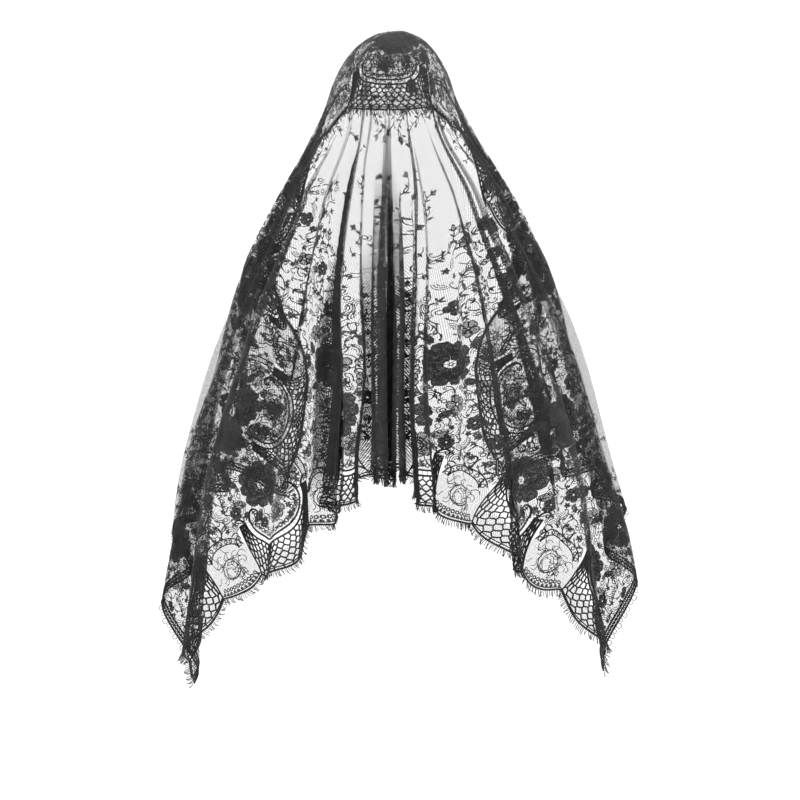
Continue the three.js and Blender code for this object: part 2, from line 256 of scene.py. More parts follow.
def from_lines(grid, flat):
    """The value a grid of the fanned lines has at places of the flat cloth."""
    across, down = flat[..., 0], flat[..., 1]
    reach = np.hypot(across, down) / LINE_STEP
    turn = (np.arctan2(across, down) + math.pi) / (line_angles[1] - line_angles[0])
    i = np.clip(reach.astype(int), 0, len(line_reaches) - 2)
    j = np.clip(turn.astype(int), 0, len(line_angles) - 2)
    u, v = (reach - i)[..., None], (turn - j)[..., None]
    near = mixed(grid[i, j], grid[i, j + 1], v)
    return mixed(near, mixed(grid[i + 1, j], grid[i + 1, j + 1], v), u)


def on_lace(flat, height=0.0):
    """Where places of the flat cloth hang, in metres; height is above the net, in mm."""
    normal = from_lines(hung_normals, flat)
    normal /= np.maximum(np.linalg.norm(normal, axis=-1, keepdims=True), 1e-9)
    return (from_lines(hung, flat) + normal * np.asarray(height)[..., None]) / 1000


def scallop(across):
    """How far short of its full depth the scalloped edge stops."""
    place = np.mod(across + CLOTH_WIDTH / 2, FAN_SPACING) - FAN_SPACING / 2
    from_fan = np.abs(place) / (FAN_WIDTH / 2)
    from_little = (FAN_SPACING / 2 - np.abs(place)) / (FAN_SPACING / 2 - FAN_WIDTH / 2)
    little = FAN_BULGE - LITTLE_BULGE * (1 - from_little**2)
    return np.where(from_fan <= 1, FAN_BULGE * from_fan**2, little)


def quads_of(rows, columns):
    first = (np.arange(rows - 1)[:, None] * columns + np.arange(columns - 1)).ravel()
    return np.stack([first, first + columns, first + columns + 1, first + 1], 1)


def new_piece(name, mesh):
    piece = bpy.data.objects.new(name, mesh)
    bpy.context.collection.objects.link(piece)
    return piece


def make_mesh(name, points, faces, flat_places=None):
    """A plain mesh piece with its flat places as a UV map in metres."""
    mesh = bpy.data.meshes.new(name)
    mesh.vertices.add(len(points))
    mesh.vertices.foreach_set("co", np.asarray(points, np.float32).ravel())
    mesh.loops.add(faces.size)
    mesh.loops.foreach_set("vertex_index", faces.ravel().astype(np.int32))
    mesh.polygons.add(len(faces))
    starts = np.arange(0, faces.size, faces.shape[1], dtype=np.int32)
    mesh.polygons.foreach_set("loop_start", starts)
    mesh.update(calc_edges=True)
    mesh.polygons.foreach_set("use_smooth", np.ones(len(faces), bool))
    if flat_places is not None:
        layer = mesh.uv_layers.new(name="flat_cloth")
        layer.data.foreach_set("uv", flat_places[faces.ravel()].astype(np.float32).ravel())
    return new_piece(name, mesh)


NET_COLUMNS, NET_ROWS = 481, 200
net_even = np.linspace(-1, 1, NET_COLUMNS)
net_across = (CLOTH_WIDTH / 2 - 1) * (0.66 * net_even + 0.34 * net_even**3)
front_line = -(FRONT_REACH - scallop(net_across))
back_line = BACK_DROP - scallop(net_across)
net_down = mixed(front_line, back_line, np.linspace(0, 1, NET_ROWS)[:, None])
net_flat = np.stack([np.broadcast_to(net_across, net_down.shape), net_down], -1).reshape(-1, 2)
net_faces = quads_of(NET_ROWS, NET_COLUMNS)
net_ground = make_mesh("net_ground", on_lace(net_flat), net_faces, net_flat / 1000)
net_gathers = from_lines(gathers[..., None], net_flat).ravel().astype(np.float32)
stored_gathers = net_ground.data.attributes.new("gathered", "FLOAT", "POINT")
stored_gathers.data.foreach_set("value", net_gathers)


def new_tree(name, kind, inputs, outputs):
    """An empty node tree with named sockets, and what its inputs give."""
    tree = bpy.data.node_groups.new(name, kind + "NodeTree")
    if kind == "Geometry":
        tree.is_modifier = True
    for label, sort, *value in inputs:
        socket = tree.interface.new_socket(label, in_out="INPUT", socket_type="NodeSocket" + sort)
        if value:
            socket.default_value = value[0]
    for label, sort in outputs:
        tree.interface.new_socket(label, in_out="OUTPUT", socket_type="NodeSocket" + sort)
    return tree, tree.nodes.new("NodeGroupInput").outputs


def fill(node, values):
    """Sets a node's inputs, each to a plain value, a socket or a node's first output."""
    for key, value in values.items():
        if isinstance(value, bpy.types.Node):
            value = value.outputs[0]
        if isinstance(value, bpy.types.NodeSocket):
            node.id_data.links.new(value, node.inputs[key])
        else:
            node.inputs[key].default_value = value
    return node


def add_node(tree, kind, values, **settings):
    node = tree.nodes.new(kind)
    for name, value in settings.items():
        setattr(node, name, value)
    return fill(node, values)


def math_node(tree, operation, a, b=0.5, clamp=False):
    settings = {"operation": operation, "use_clamp": clamp}
    return add_node(tree, "ShaderNodeMath", {0: a, 1: b}, **settings).outputs[0]


def vector_node(tree, operation, a, b=(0.0, 0.0, 0.0)):
    second = "Scale" if operation == "SCALE" else 1
    node = add_node(tree, "ShaderNodeVectorMath", {0: a, second: b}, operation=operation)
    return node.outputs["Value" if operation == "DOT_PRODUCT" else "Vector"]


def weave_group(name, size):
    """A group for threads and the holes between them: 1 on a thread, 0 in a hole."""
    return new_tree(
        name, "Shader", [("Place", "Vector"), (size, "Float", 0.001), ("Thread share", "Float", 0.5)],
        [("Thread", "Float"), ("Relief", "Float")],
    )


def put_out_threads(group, from_middle, share):
    """Threads as wide as their share, highest along their middle."""
    maths = partial(math_node, group)
    half_thread = maths("MULTIPLY", share, 0.5)
    relief = maths("SUBTRACT", 1.0, maths("DIVIDE", from_middle, half_thread), clamp=True)
    thread = maths("LESS_THAN", from_middle, half_thread)
    add_node(group, "NodeGroupOutput", {"Thread": thread, "Relief": relief})
    return group


def hexagon_net_group():
    """The six-sided holes of a fine net."""
    group, given = weave_group("Hexagon net", "Cell")
    maths, vectors = partial(math_node, group), partial(vector_node, group)
    root = math.sqrt(3)
    half = (0.5, root / 2, 0.0)
    far_off = (5000.0, 5000.0 * root, 0.0)
    size = vectors("SCALE", given["Place"], maths("DIVIDE", 1.0, given["Cell"]))
    far = []
    for shift in ((0.0, 0.0, 0.0), half):
        moved = vectors("ADD", vectors("ADD", size, shift), far_off)
        centred = vectors("SUBTRACT", vectors("MODULO", moved, (1.0, root, 1.0)), half)
        positive = vectors("ABSOLUTE", centred)
        slanted = vectors("DOT_PRODUCT", positive, half)
        straight = vectors("DOT_PRODUCT", positive, (1.0, 0.0, 0.0))
        far.append(maths("MAXIMUM", slanted, straight))
    rim = maths("SUBTRACT", 0.5, maths("MINIMUM", *far))
    return put_out_threads(group, rim, given["Thread share"])


# the two cords of each fan's U, up from the hem, with the net cut away just outside
U_MIDDLE, U_HALF_WIDTH, U_DEPTH = 88.0, 56.0, 47.0
CUT_NEAR, CUT_FAR, CUT_TOP = 0.74, 1.75, 92.0
FANS_TO_LEFT = 10.5


def fan_openings_group():
    """Where the fine net is cut away in the fans: between the two U cords and just outside."""
    group, given = new_tree(
        "Fan openings", "Shader",
        [("Place", "Vector"), ("Fan spacing", "Float", FAN_SPACING / 1000)],
        [("Open", "Float")],
    )
    maths = partial(math_node, group)
    place = add_node(group, "ShaderNodeSeparateXYZ", {0: given["Place"]}).outputs
    spacing = given["Fan spacing"]
    # counted in fans from far off the left end, so that each fan's middle is a half turn
    turns = maths("DIVIDE", maths("ADD", place["X"], FANS_TO_LEFT * FAN_SPACING / 1000), spacing)
    from_middle = maths("MULTIPLY", maths("SUBTRACT", maths("FRACT", turns), 0.5), spacing)
    from_back = maths("SUBTRACT", BACK_DROP / 1000, place["Y"])
    from_front = maths("ADD", place["Y"], FRONT_REACH / 1000)
    height = maths("MINIMUM", from_back, from_front)
    wide = maths("DIVIDE", from_middle, U_HALF_WIDTH / 1000)
    deep = maths("DIVIDE", maths("SUBTRACT", U_MIDDLE / 1000, height), U_DEPTH / 1000)
    away = maths("ADD", *[maths("POWER", maths("ABSOLUTE", part), 2.0) for part in (wide, deep)])
    within = maths("MULTIPLY", maths("GREATER_THAN", away, CUT_NEAR), maths("LESS_THAN", away, CUT_FAR))
    below_top = maths("LESS_THAN", height, CUT_TOP / 1000)
    add_node(group, "NodeGroupOutput", {"Open": maths("MULTIPLY", within, below_top)})
    return group


def group_node(tree, group, values):
    return add_node(tree, "ShaderNodeGroup", values, node_tree=group)


def noise_node(tree, place, scale, detail):
    values = {"Vector": place, "Scale": scale, "Detail": detail}
    return add_node(tree, "ShaderNodeTexNoise", values).outputs["Fac"]


def dye_group():
    """Yarn takes its dye unevenly: a little darker and a little paler from place to place."""
    group, given = new_tree(
        "Uneven dye", "Shader",
        [("Place", "Vector"), ("Dye", "Color")], [("Colour", "Color")],
    )
    cloud = noise_node(group, given["Place"], 60.0, 3.0)
    share = add_node(group, "ShaderNodeMapRange", {
        "Value": cloud, "From Min": 0.3, "From Max": 0.7, "To Min": 0.7, "To Max": 1.35,
    })
    add_node(group, "NodeGroupOutput", {"Colour": vector_node(group, "SCALE", given["Dye"], share)})
    return group


uneven_dye = dye_group()


def fabric_material(name, colour, roughness, sheen):
    """A material for black yarn, with its tree, shader and places."""
    material = bpy.data.materials.new(name)
    material.use_nodes = True
    tree = material.node_tree
    place = tree.nodes.new("ShaderNodeTexCoord").outputs
    dyed = group_node(tree, uneven_dye, {"Place": place["Object"], "Dye": (*colour, 1)})
    shader = fill(tree.nodes["Principled BSDF"], {
        "Roughness": roughness, "Sheen Weight": sheen, "Sheen Roughness": 0.45,
        "Specular IOR Level": 0.35, "Base Color": dyed,
    })
    return material, tree, shader, place


def weave(tree, shader, pattern, alpha, depth):
    """Opens the cloth between the threads of a pattern and raises them."""
    relief = {"Height": pattern.outputs["Relief"], "Distance": depth}
    fill(shader, {"Alpha": alpha, "Normal": add_node(tree, "ShaderNodeBump", relief)})


NET_CELL = 0.0019
NET_THREAD_SHARE, GATHERED_SHARE = 0.165, 0.37
net_material, net_tree, net_shader, net_place = fabric_material(
    "fine black tulle", (0.02, 0.02, 0.021), 0.7, 0.12
)
net_maths = partial(math_node, net_tree)
gathered = add_node(net_tree, "ShaderNodeAttribute", {}, attribute_name="gathered").outputs["Fac"]
net_cloud = noise_node(net_tree, net_place["UV"], 380.0, 1.0)
cloudy = net_maths("SUBTRACT", net_maths("MULTIPLY", net_cloud, 2.2), 0.35)
closer = net_maths("MULTIPLY", net_maths("MULTIPLY", gathered, cloudy), GATHERED_SHARE)
net_pattern = group_node(net_tree, hexagon_net_group(), {
    "Place": net_place["UV"], "Cell": NET_CELL,
    "Thread share": net_maths("ADD", closer, NET_THREAD_SHARE),
})
openings = group_node(net_tree, fan_openings_group(), {"Place": net_place["UV"]})
flat_there = net_maths("SUBTRACT", 1.0, gathered, clamp=True)
net_kept = net_maths("SUBTRACT", 1.0, net_maths("MULTIPLY", openings, flat_there))
net_alpha = net_maths("MULTIPLY", net_pattern.outputs["Thread"], net_kept)
weave(net_tree, net_shader, net_pattern, net_alpha, 0.0001)
net_ground.data.materials.append(net_material)
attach(net_ground, "root")
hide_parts("lace_field")

# The woven flowers. Roses with lobed petals, blossoms, leaves, scrolls and sprays are worked
# into the net in close cloth stitch, and some petals in half stitch, which stays half open.
# A motif is drawn in millimetres, across from its fan's middle and up from the hem.
ROSE_A, ROSE_B = (8.0, 130.0, 35.0), (22.0, 212.0, 34.0)
STROKE_STEP = 2.5
LEAF_HEIGHT, THREAD_HEIGHT, CORD_HEIGHT_SHARE = 0.3, 1.0, 0.7
circle_turn = np.radians(np.linspace(0, 360, 13))
unit_circle = np.stack([np.cos(circle_turn), np.sin(circle_turn)], -1)


def turned_by(points, degrees, x, y, scale=1.0):
    """Points turned about their own origin and set at x, y."""
    c, s = math.cos(math.radians(degrees)), math.sin(math.radians(degrees))
    return np.stack([
        x + scale * (points[..., 0] * c - points[..., 1] * s),
        y + scale * (points[..., 0] * s + points[..., 1] * c),
    ], -1)


def stroke(x, y, heading, length, turns):
    """A drawn line that starts at x, y and turns by each number of degrees in equal parts."""
    count = max(int(length / STROKE_STEP), 6)
    per_part = np.interp(np.linspace(0, len(turns) - 1, count), np.arange(len(turns)), turns)
    headings = np.radians(heading + np.cumsum(per_part) * len(turns) / count)
    moves = np.stack([np.cos(headings), np.sin(headings)], -1) * length / count
    return np.concatenate([[(x, y)], (x, y) + np.cumsum(moves, 0)])


class Drawing:
    """The petals, flat threads and raised cords of one repeat, before they go on the cloth."""

    def __init__(self):
        self.solid, self.half, self.threads, self.cords = [], [], [], []
        self.dice = np.random.default_rng(3)

    def cord(self, points, half_width=1.0):
        self.cords.append((np.asarray(points, float), half_width))

    def thread(self, points, half_width=0.6):
        self.threads.append((np.asarray(points, float), half_width))

    def patch(self, points, height, kind, outline):
        """A petal or leaf: a grid of places, with a thread round its rim."""
        (self.half if kind == "half" else self.solid).append((points, height))
        sides = points[1:, -1], points[-1, -2::-1], points[-2:0:-1, 0]
        if outline:
            self.thread(np.concatenate([points[0], *sides, points[:1, 0]]), outline)

    def petal(self, x, y, heading, inner, outer, half_angle, kind, level, rows=5):
        """A petal: a sector with a ragged outer rim."""
        u = np.linspace(0, 1, rows)[:, None]
        v = np.linspace(-1, 1, 9)
        rim = outer * (1 - 0.17 * np.abs(v) ** 4 - self.dice.uniform(0, 0.075, 9))
        reach = inner + (rim - inner) * u
        spread = np.radians(heading + half_angle * v * (0.92 + 0.08 * np.sin(u * math.pi * 0.7)))
        places = np.stack([x + reach * np.cos(spread), y + reach * np.sin(spread)], -1)
        domed = level + 0.5 * np.sin(math.pi * u) * (1 - v**2)
        self.patch(places, domed, kind, 0.65 if kind == "half" else 0.45)
        if kind == "half":
            for k in (2, 6):
                self.thread(places[1:-1, k], 0.3)
        else:
            self.thread(places[1:, 4] * 0.75 + places[1:, 5] * 0.25, 0.3)

    def leaf(self, x, y, heading, length, width, bend=0.0, kind="solid", rows=6):
        """A pointed leaf."""
        u = np.linspace(0, 1, rows)
        turn = np.radians(heading + bend * u)
        axis = np.cumsum(np.stack([np.cos(turn), np.sin(turn)], -1) * length / (rows - 1), 0)
        axis = np.concatenate([[(0, 0)], axis[:-1]]) + (x, y)
        side = np.stack([-np.sin(turn), np.cos(turn)], -1)
        half = width / 2 * np.sin(math.pi * u**0.8) ** 0.8
        places = axis[:, None] + side[:, None] * (half[:, None] * np.linspace(-1, 1, 3))[..., None]
        self.patch(places, LEAF_HEIGHT * np.ones((rows, 3)), kind, 0.5 if kind == "half" else 0)
        if kind == "half":
            self.thread(places[:, 1], 0.3)

    def rose(self, x, y, radius, turn=0.0, kind="solid"):
        """Three rings of ragged petals round an open middle."""
        for k in range(10):
            grown = radius * self.dice.uniform(0.9, 1.04)
            self.petal(x, y, turn + 36 * k, radius * 0.52, grown, 17.6, kind, 0.3)
        for k in range(8):
            grown = radius * self.dice.uniform(0.6, 0.68)
            self.petal(x, y, turn + 20 + 45 * k, radius * 0.34, grown, 22.0, kind, 0.8, 4)
        for k in range(6):
            self.petal(x, y, turn + 8 + 60 * k, radius * 0.2, radius * 0.42, 27.0, kind, 1.2, 4)
        self.thread(unit_circle * radius * 0.18 + (x, y), 0.5)
        self.thread(unit_circle[::2] * radius * 0.06 + (x, y), 0.6)
        for k in range(6):
            spoke = np.array([(0.06, 0), (0.12, 0), (0.18, 0)]) * radius
            self.thread(turned_by(spoke, turn + 60 * k, x, y), 0.35)

    def blossom(self, x, y, radius, petals=5, turn=0.0, kind="solid"):
        for k in range(petals):
            self.petal(x, y, turn + k * 360 / petals, radius * 0.22, radius, 160 / petals, kind, 0.35, 4)
        self.thread(unit_circle[::2] * radius * 0.18 + (x, y), 0.5)

    def curl(self, x, y, heading, length, hand=1, half_width=0.8):
        """A scroll that winds up at its end."""
        line = stroke(x, y, heading, length, np.array([10, 25, 60, 130, 230]) * hand)
        self.thread(line, half_width * np.linspace(1.15, 0.6, len(line)))

    def ladder(self, line, gap):
        """Two cords side by side with fine rungs between them."""
        way = np.gradient(line, axis=0)
        way /= np.linalg.norm(way, axis=1, keepdims=True)
        side = np.stack([-way[:, 1], way[:, 0]], -1) * gap / 2
        self.cord(line + side, 1.1)
        self.cord(line - side, 1.1)
        for i in range(1, len(line) - 1):
            self.thread(np.array([line[i] + side[i], line[i], line[i] - side[i]]), 0.32)

    def spray(self, x, y, heading, length, hand, leaves, size):
        """A thin bent stem with small narrow leaves, side twigs and a small bud."""
        stem = stroke(x, y, heading, length, [25 * hand, 10 * hand, -30 * hand, -45 * hand])
        self.thread(stem, 0.6)
        for k in range(leaves):
            i = int((k + 1) / (leaves + 1) * (len(stem) - 1))
            way = stem[i] - stem[i - 1]
            along = math.degrees(math.atan2(way[1], way[0]))
            side = 1 if k % 2 else -1
            grown = size * (1.2 - 0.06 * k)
            self.leaf(*stem[i], along + side * 46, grown, grown * 0.3, side * 25)
            if k % 3 == 1:
                twig = stroke(*stem[i], along - side * 50, size * 1.6, [20 * side, 50 * side])
                self.thread(twig, 0.45)
                for fork in (-40, 0, 40):
                    self.leaf(*twig[-1], along - side * 20 + fork, size * 0.5, size * 0.2, 0, rows=4)
        way = stem[-1] - stem[-2]
        end = math.degrees(math.atan2(way[1], way[0]))
        self.leaf(*stem[-1], end, size * 1.1, size * 0.5, 0, "half")
        self.leaf(*stem[-1], end + 38, size * 0.9, size * 0.25, 20)
        self.leaf(*stem[-1], end - 38, size * 0.9, size * 0.25, -20)


def fill_with_scrolls(drawing, dice, tries, box, apart_at, keeps_clear):
    """Packs small scrolls, leaves, eyelets and blossoms into the ground between the motifs."""
    places = np.zeros((0, 2))
    for _ in range(tries):
        x, y = dice.uniform(box[0], box[1]), dice.uniform(box[2], box[3])
        if keeps_clear(x, y) or (len(places) and np.hypot(*(places - (x, y)).T).min() < apart_at(x, y)):
            continue
        places = np.concatenate([places, [(x, y)]])
        kind, heading, hand = dice.random(), dice.uniform(0, 360), 1 if dice.random() < 0.5 else -1
        size = dice.uniform(0.85, 1.2)
        if kind < 0.36:
            drawing.curl(x, y, heading, 21 * size, hand, 0.62)
            drawing.leaf(x, y, heading + 180, 5.5 * size, 2.4, 0, rows=4)
        elif kind < 0.5:
            drawing.thread(stroke(x, y, heading, 11 * size, [30 * hand, 20 * hand]), 0.5)
            for k, length in ((-1, 6), (0, 7.5), (1, 6)):
                drawing.leaf(x, y, heading + 48 * k + 180, length * size, 2.5, 12 * k, rows=4)
        elif kind < 0.68:
            drawing.thread(unit_circle[::2] * 2.6 * size + (x, y), 0.6)
            drawing.thread(turned_by(unit_circle[1:6] * 5.2 * size, heading, x, y), 0.45)
        elif kind < 0.86:
            for radius in (3.5, 6.2, 9.0):
                arc = turned_by(unit_circle[:5] * radius * size, heading, x, y)
                drawing.thread(arc, 0.48)
        else:
            for k in range(5):
                drawing.leaf(x, y, heading + 72 * k, 4.8 * size, 3.0, 0, rows=4)


def draw_flowers(dice, closest):
    """The flowers of one repeat, from the fan's U up to where the plain net begins."""
    drawing = Drawing()
    drawing.rose(*ROSE_A, 5)
    drawing.rose(*ROSE_B, 22)
    drawing.rose(-6, 80, 19, 12, "half")
    spots = [(*ROSE_A,), (*ROSE_B,), (-6, 80, 20)]
    for x, y, radius, petals, kind in (
        (-42, 163, 12, 5, "half"), (54, 164, 13, 5, "half"), (-24, 192, 13, 5, "half"),
        (68, 238, 12, 5, "solid"), (-26, 240, 13, 6, "solid"), (62, 112, 10, 5, "solid"),
        (-50, 116, 11, 5, "half"), (30, 262, 12, 5, "half"), (-60, 212, 10, 5, "solid"),
        (88, 196, 12, 5, "half"), (-86, 178, 12, 5, "half"), (92, 148, 10, 5, "solid"),
        (-92, 128, 10, 5, "solid"), (-6, 284, 11, 5, "solid"), (30, 82, 8, 5, "solid"),
        (92, 262, 10, 5, "half"), (-82, 250, 10, 5, "half"), (58, 300, 9, 5, "solid"),
    ):
        drawing.blossom(x, y, radius, petals, dice.uniform(0, 70), kind)
        spots.append((x, y, radius))
    leafed = ((ROSE_A, (-60, -20, 20, 150, 185, 222)), (ROSE_B, (-25, 15, 50, 95, 135, 170, 200)))
    for (x, y, radius), angles in leafed:
        for k, angle in enumerate(angles):
            a = math.radians(angle)
            kind = "half" if k % 2 else "solid"
            drawing.leaf(x + radius * math.cos(a), y + radius * math.sin(a), angle + 20, 21, 10, 25, kind)
    sprays = (
        (26, 246, 98, 105, 1, 11, 11), (52, 244, 62, 96, -1, 10, 10), (-20, 250, 116, 100, 1, 10, 10),
        (0, 292, 86, 92, -1, 9, 10), (-72, 196, 104, 84, 1, 9, 10), (90, 236, 84, 84, -1, 9, 9),
        (66, 322, 104, 70, 1, 8, 9), (-58, 322, 78, 66, -1, 8, 9), (12, 366, 96, 56, 1, 7, 8),
        (-96, 292, 88, 74, 1, 8, 9), (96, 322, 98, 80, 1, 8, 9), (-28, 350, 100, 70, -1, 8, 8),
        (44, 376, 80, 56, -1, 7, 8), (-76, 384, 92, 44, 1, 6, 8), (80, 402, 84, 40, -1, 6, 8),
    )
    for spray in sprays:
        drawing.spray(*spray)
    rail = stroke(-66, 96, 97, 80, [-10, -16, -14])
    drawing.ladder(rail, 7.5)
    drawing.curl(*rail[-1], 60, 30, -1, 1.0)
    drawing.curl(*rail[-1], 110, 26, 1, 1.0)

    def keeps_clear(x, y):
        if y < 96 and abs(x) < 74:
            share = math.hypot(x / (U_HALF_WIDTH - 15), (U_MIDDLE - min(y, U_MIDDLE)) / (U_DEPTH - 14))
            if share > 1:
                return True
        elif y < 90:
            return True
        if min(math.hypot(x - a, y - b) - r for a, b, r in spots) < 1.5:
            return True
        return np.hypot(*(rail - (x, y)).T).min() < 7

    def apart_at(x, y):
        return closest + 8.6 * ease(y, 212, 345)

    fill_with_scrolls(drawing, dice, 6000, (-107, 107, 44, 350), apart_at, keeps_clear)
    return drawing


def draw_swags(dice):
    """Two swags of small flowers that climb towards the crown, one on each side."""
    drawing = Drawing()
    for side, low_way, high_way, near, far in ((-1, 29, 53, 285, 480), (1, 30, 51, 350, 480)):
        spots = []
        for _ in range(60):
            reach, way = dice.uniform(near + 10, far), math.radians(dice.uniform(low_way, high_way))
            x, y = side * reach * math.sin(way), BACK_DROP - reach * math.cos(way)
            if len(spots) < 11 and all(math.hypot(x - a, y - b) > 34 for a, b in spots):
                spots.append((x, y))
                kind = "solid" if len(spots) % 3 else "half"
                drawing.blossom(x, y, dice.uniform(8, 11), 5, dice.uniform(0, 70), kind)

        def keeps_clear(x, y):
            reach = math.hypot(x, BACK_DROP - y)
            way = math.degrees(math.atan2(side * x, BACK_DROP - y))
            outside = not (near < reach < far and low_way < way < high_way)
            return outside or min(math.hypot(x - a, y - b) for a, b in spots) < 10.5

        box = (side * 240 - 150, side * 240 + 150, 250, 560)
        fill_with_scrolls(drawing, dice, 4200, box, lambda x, y: 8.6, keeps_clear)
    return drawing


def draw_crown(dice):
    """Small flowers and close scrolls over the crown."""
    drawing = Drawing()
    spots = [(-70, 640), (62, 668), (4, 612), (-118, 590), (112, 596), (-30, 690), (60, 560), (-60, 556)]
    for k, (x, y) in enumerate(spots):
        drawing.blossom(x, y, 13, 5 + k % 2, 25 * k, "half" if k % 2 else "solid")

    def keeps_clear(x, y):
        return math.hypot(x, BACK_DROP - y) > 172 or min(math.hypot(x - a, y - b) for a, b in spots) < 13

    fill_with_scrolls(drawing, dice, 3200, (-172, 172, 528, 716), lambda x, y: 7.2, keeps_clear)
    return drawing


def lay(drawing, middle, mirror, border, cloth, top=9999.0):
    """Sets a drawing on the flat cloth at a fan's middle, up to the height top."""
    def flat(points):
        across = middle + mirror * points[..., 0]
        down = BACK_DROP - points[..., 1] if border == "back" else points[..., 1] - FRONT_REACH
        return np.stack([across, down], -1)

    inside = CLOTH_WIDTH / 2 - 13
    for kind in ("solid", "half"):
        for points, height in getattr(drawing, kind):
            placed = flat(points)
            if np.abs(placed[..., 0]).max() < inside and points[..., 1].max() < top:
                getattr(cloth, kind).append((placed, np.broadcast_to(height, placed.shape[:-1])))
    for kind in ("threads", "cords"):
        for points, half_width in getattr(drawing, kind):
            placed = flat(points)
            kept = np.abs(placed[:, 0]) < inside
            if kept.sum() > 1 and points[:, 1].max() < top:
                width = half_width[kept] if isinstance(half_width, np.ndarray) else half_width
                getattr(cloth, kind).append((placed[kept], width))


fan_middles = (np.arange(7) - 3) * FAN_SPACING
back_flowers = draw_flowers(np.random.default_rng(5), 5.9)
front_flowers = draw_flowers(np.random.default_rng(5), 8.6)
flowered = {"back": Drawing(), "front": Drawing()}
for middle in fan_middles:
    facing = 1 if middle >= 0 else -1
    lay(back_flowers, middle, facing, "back", flowered["back"])
    front_top = 400 if abs(middle) < 100 else 330
    lay(front_flowers, middle, facing, "front", flowered["front"], front_top)
lay(draw_swags(np.random.default_rng(21)), 0.0, 1, "back", flowered["back"])
lay(draw_crown(np.random.default_rng(22)), 0.0, 1, "back", flowered["front"])


def laid_piece(name, flats, faces, heights):
    """One mesh of many small parts lying on the net."""
    starts = np.cumsum([0, *map(len, flats[:-1])])
    flat = np.concatenate(flats)
    faces = np.concatenate([part + start for part, start in zip(faces, starts)])
    return make_mesh(name, on_lace(flat, heights), faces, flat / 1000)


def patch_piece(name, patches):
    """Petals and leaves, each at its own height."""
    flats = [places.reshape(-1, 2) for places, _ in patches]
    faces = [quads_of(*places.shape[:2]) for places, _ in patches]
    return laid_piece(name, flats, faces, np.concatenate([height.ravel() for _, height in patches]))


def thread_piece(name, threads):
    """Flat threads of close stitch along drawn lines."""
    flats = []
    for places, half_width in threads:
        way = np.gradient(places, axis=0)
        way /= np.maximum(np.linalg.norm(way, axis=1, keepdims=True), 1e-6)
        side = np.stack([-way[:, 1], way[:, 0]], -1) * np.reshape(half_width, (-1, 1))
        flats.append(np.stack([places + side, places - side], 1).reshape(-1, 2))
    faces = [quads_of(len(flat) // 2, 2) for flat in flats]
    return laid_piece(name, flats, faces, THREAD_HEIGHT)


def finish_tree(tree, shapes, material):
    """Makes a tree's shapes real, gives them their material and puts them out."""
    real = add_node(tree, "GeometryNodeRealizeInstances", {"Geometry": shapes})
    paint = add_node(tree, "GeometryNodeSetMaterial", {"Geometry": real, "Material": material})
    add_node(tree, "NodeGroupOutput", {"Geometry": paint})
    return tree


def cord_tree():
    """A round cord along each drawn line, as thick as the line says."""
    tree, given = new_tree(
        "Cord along a line", "Geometry",
        [("Geometry", "Geometry"), ("Sides", "Int", 3), ("Thickness", "Float", 1.0),
         ("Material", "Material")],
        [("Geometry", "Geometry")],
    )
    add = partial(add_node, tree)
    line = add("GeometryNodeMeshToCurve", {"Mesh": given["Geometry"]})
    width = add("GeometryNodeInputNamedAttribute", {"Name": "half_width"}, data_type="FLOAT")
    thick = math_node(tree, "MULTIPLY", width.outputs["Attribute"], given["Thickness"])
    section = add("GeometryNodeCurvePrimitiveCircle", {"Resolution": given["Sides"], "Radius": 1.0})
    tube = add("GeometryNodeCurveToMesh", {
        "Curve": line, "Profile Curve": section, "Scale": thick, "Fill Caps": True,
    })
    return finish_tree(tree, tube, given["Material"])


cord_nodes = cord_tree()


def run_nodes(piece, tree, values):
    """Runs a tree of nodes on a piece and keeps the plain mesh."""
    modifier = piece.modifiers.new(tree.name, "NODES")
    modifier.node_group = tree
    for item in tree.interface.items_tree:
        if item.in_out == "INPUT" and item.name in values:
            modifier[item.identifier] = values[item.name]
    ready = piece.evaluated_get(bpy.context.evaluated_depsgraph_get())
    mesh = bpy.data.meshes.new_from_object(ready)
    piece.modifiers.remove(modifier)
    old = piece.data
    piece.data = mesh
    mesh.name = piece.name
    bpy.data.meshes.remove(old)
    mesh.polygons.foreach_set("use_smooth", np.ones(len(mesh.polygons), bool))
    return piece


def line_piece(name, points, edges, attribute, kind, values):
    """Bare lines, with a width or a way stored at each point for a tree to work with."""
    mesh = bpy.data.meshes.new(name)
    mesh.vertices.add(len(points))
    mesh.vertices.foreach_set("co", points.astype(np.float32).ravel())
    mesh.edges.add(len(edges))
    mesh.edges.foreach_set("vertices", edges.astype(np.int32).ravel())
    stored = mesh.attributes.new(attribute, kind, "POINT").data
    stored.foreach_set("value" if kind == "FLOAT" else "vector", values.astype(np.float32).ravel())
    mesh.update()
    return new_piece(name, mesh)


